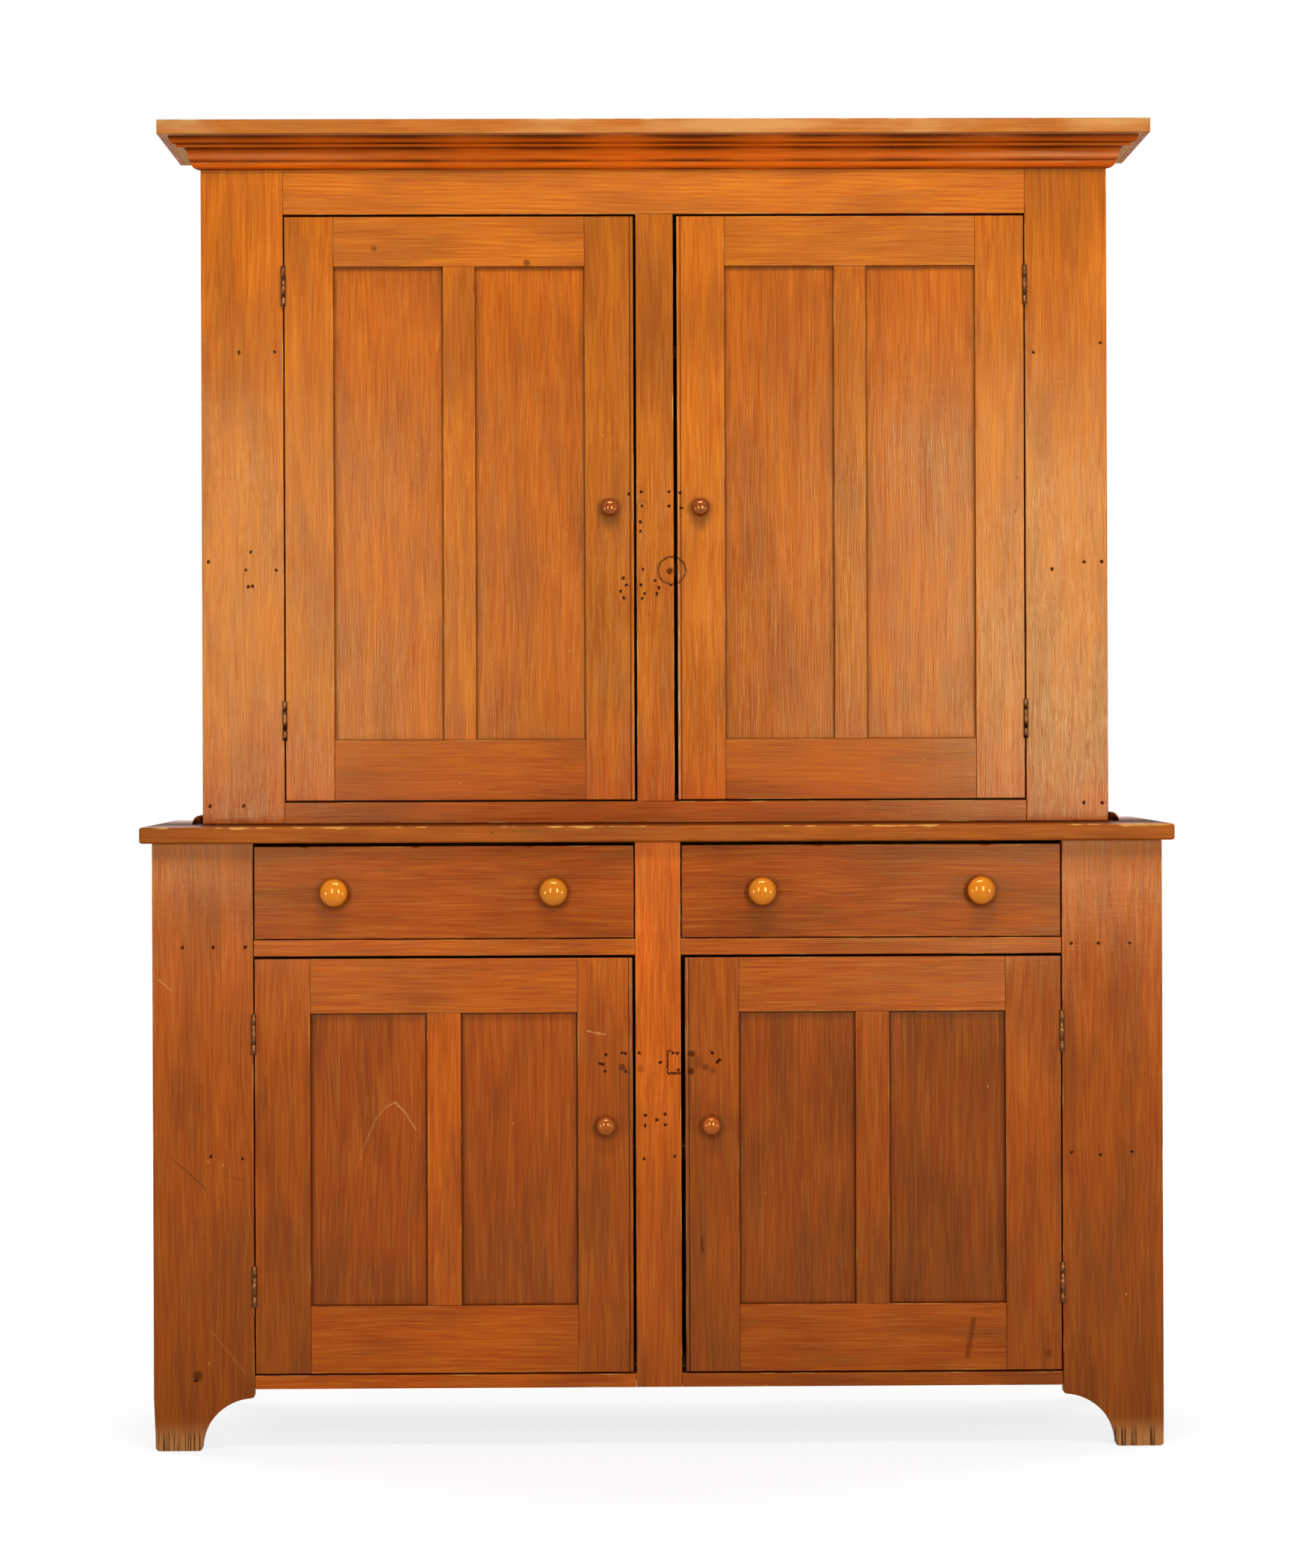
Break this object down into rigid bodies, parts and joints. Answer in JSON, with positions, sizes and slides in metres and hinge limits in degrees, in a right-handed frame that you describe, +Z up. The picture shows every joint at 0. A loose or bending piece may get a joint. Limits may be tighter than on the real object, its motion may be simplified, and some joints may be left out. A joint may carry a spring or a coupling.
{
  "type": "step-back cupboard",
  "caption": "Tall two-part wooden cupboard: panelled doors above and below, drawers at the waist, a set-back upper case on a ledge, moulded cornice and cut-out feet.",
  "frame": {"origin": "on the floor, in the middle of the overall width and depth", "axes": "+Z up; the front with doors and drawers faces -Y; +X is to the right as seen from the front"},
  "size_m": [1.616, 0.524, 2.1],
  "materials": {
    "upper_case_wood": "aged satin varnish on light orange-brown wood",
    "upper_door_wood": "aged satin varnish on light orange-brown wood",
    "upper_panel_wood": "aged satin varnish, flat panel",
    "lower_case_wood": "aged satin varnish on darker reddish-brown wood",
    "lower_door_wood": "aged satin varnish on darker reddish-brown wood",
    "lower_panel_wood": "aged satin varnish, flat panel",
    "drawer_front_wood": "aged satin varnish, long grain",
    "waist_wood": "aged satin varnish, worn front edge",
    "cap_wood": "aged satin varnish, bare underside",
    "cornice_wood": "aged satin varnish, moulded",
    "inner_wood": "bare aged secondary wood",
    "drawer_inner_wood": "bare aged secondary wood",
    "door_knob_wood": "dark glossy varnish",
    "drawer_knob_wood": "golden glossy varnish",
    "hinge_metal": "dull aged steel"
  },
  "bodies": {
    "case": {"lower_side_left": "lower_case_wood", "lower_side_right": "lower_case_wood", "lower_face_frame": "lower_case_wood", "lower_bottom": "inner_wood", "lower_shelf": "inner_wood", "lower_back": "inner_wood", "drawer_board": "inner_wood", "waist_top": "waist_wood", "upper_side_left": "upper_case_wood", "upper_side_right": "upper_case_wood", "upper_face_frame": "upper_case_wood", "upper_bottom": "inner_wood", "upper_shelf_low": "inner_wood", "upper_shelf_high": "inner_wood", "upper_back": "inner_wood", "cornice_cap": "cap_wood", "cornice_moulding": "cornice_wood", "hinge_upper_left_top_case_leaf": "hinge_metal", "hinge_upper_left_bottom_case_leaf": "hinge_metal", "hinge_upper_right_top_case_leaf": "hinge_metal", "hinge_upper_right_bottom_case_leaf": "hinge_metal", "hinge_lower_left_top_case_leaf": "hinge_metal", "hinge_lower_left_bottom_case_leaf": "hinge_metal", "hinge_lower_right_top_case_leaf": "hinge_metal", "hinge_lower_right_bottom_case_leaf": "hinge_metal"},
    "door_upper_left": {"door_upper_left_frame": "upper_door_wood", "door_upper_left_panel_inner": "upper_panel_wood", "door_upper_left_panel_outer": "upper_panel_wood", "door_upper_left_knob": "door_knob_wood", "hinge_upper_left_top_door_leaf": "hinge_metal", "hinge_upper_left_bottom_door_leaf": "hinge_metal"},
    "door_upper_right": {"door_upper_right_frame": "upper_door_wood", "door_upper_right_panel_inner": "upper_panel_wood", "door_upper_right_panel_outer": "upper_panel_wood", "door_upper_right_knob": "door_knob_wood", "hinge_upper_right_top_door_leaf": "hinge_metal", "hinge_upper_right_bottom_door_leaf": "hinge_metal"},
    "door_lower_left": {"door_lower_left_frame": "lower_door_wood", "door_lower_left_panel_inner": "lower_panel_wood", "door_lower_left_panel_outer": "lower_panel_wood", "door_lower_left_knob": "door_knob_wood", "hinge_lower_left_top_door_leaf": "hinge_metal", "hinge_lower_left_bottom_door_leaf": "hinge_metal"},
    "door_lower_right": {"door_lower_right_frame": "lower_door_wood", "door_lower_right_panel_inner": "lower_panel_wood", "door_lower_right_panel_outer": "lower_panel_wood", "door_lower_right_knob": "door_knob_wood", "hinge_lower_right_top_door_leaf": "hinge_metal", "hinge_lower_right_bottom_door_leaf": "hinge_metal"},
    "drawer_left": {"drawer_left_front": "drawer_front_wood", "drawer_left_box": "drawer_inner_wood", "drawer_left_bottom": "drawer_inner_wood", "drawer_left_knob_left": "drawer_knob_wood", "drawer_left_knob_right": "drawer_knob_wood"},
    "drawer_right": {"drawer_right_front": "drawer_front_wood", "drawer_right_box": "drawer_inner_wood", "drawer_right_bottom": "drawer_inner_wood", "drawer_right_knob_left": "drawer_knob_wood", "drawer_right_knob_right": "drawer_knob_wood"}
  },
  "joints": [
    {"name": "door_upper_left_hinge", "type": "hinge", "parent": "case", "child": "door_upper_left", "pos_m": [-0.59675, -0.0404, 1.4822], "axis": [0, 0, -1], "range_deg": [0, 170]},
    {"name": "door_upper_right_hinge", "type": "hinge", "parent": "case", "child": "door_upper_right", "pos_m": [0.59675, -0.0404, 1.4822], "axis": [0, 0, 1], "range_deg": [0, 170]},
    {"name": "door_lower_left_hinge", "type": "hinge", "parent": "case", "child": "door_lower_left", "pos_m": [-0.63175, -0.2304, 0.44425], "axis": [0, 0, -1], "range_deg": [0, 170]},
    {"name": "door_lower_right_hinge", "type": "hinge", "parent": "case", "child": "door_lower_right", "pos_m": [0.63175, -0.2304, 0.44425], "axis": [0, 0, 1], "range_deg": [0, 170]},
    {"name": "drawer_left_slide", "type": "slide", "parent": "case", "child": "drawer_left", "axis": [0, -1, 0], "range_m": [0, 0.32]},
    {"name": "drawer_right_slide", "type": "slide", "parent": "case", "child": "drawer_right", "axis": [0, -1, 0], "range_m": [0, 0.32]}
  ]
}
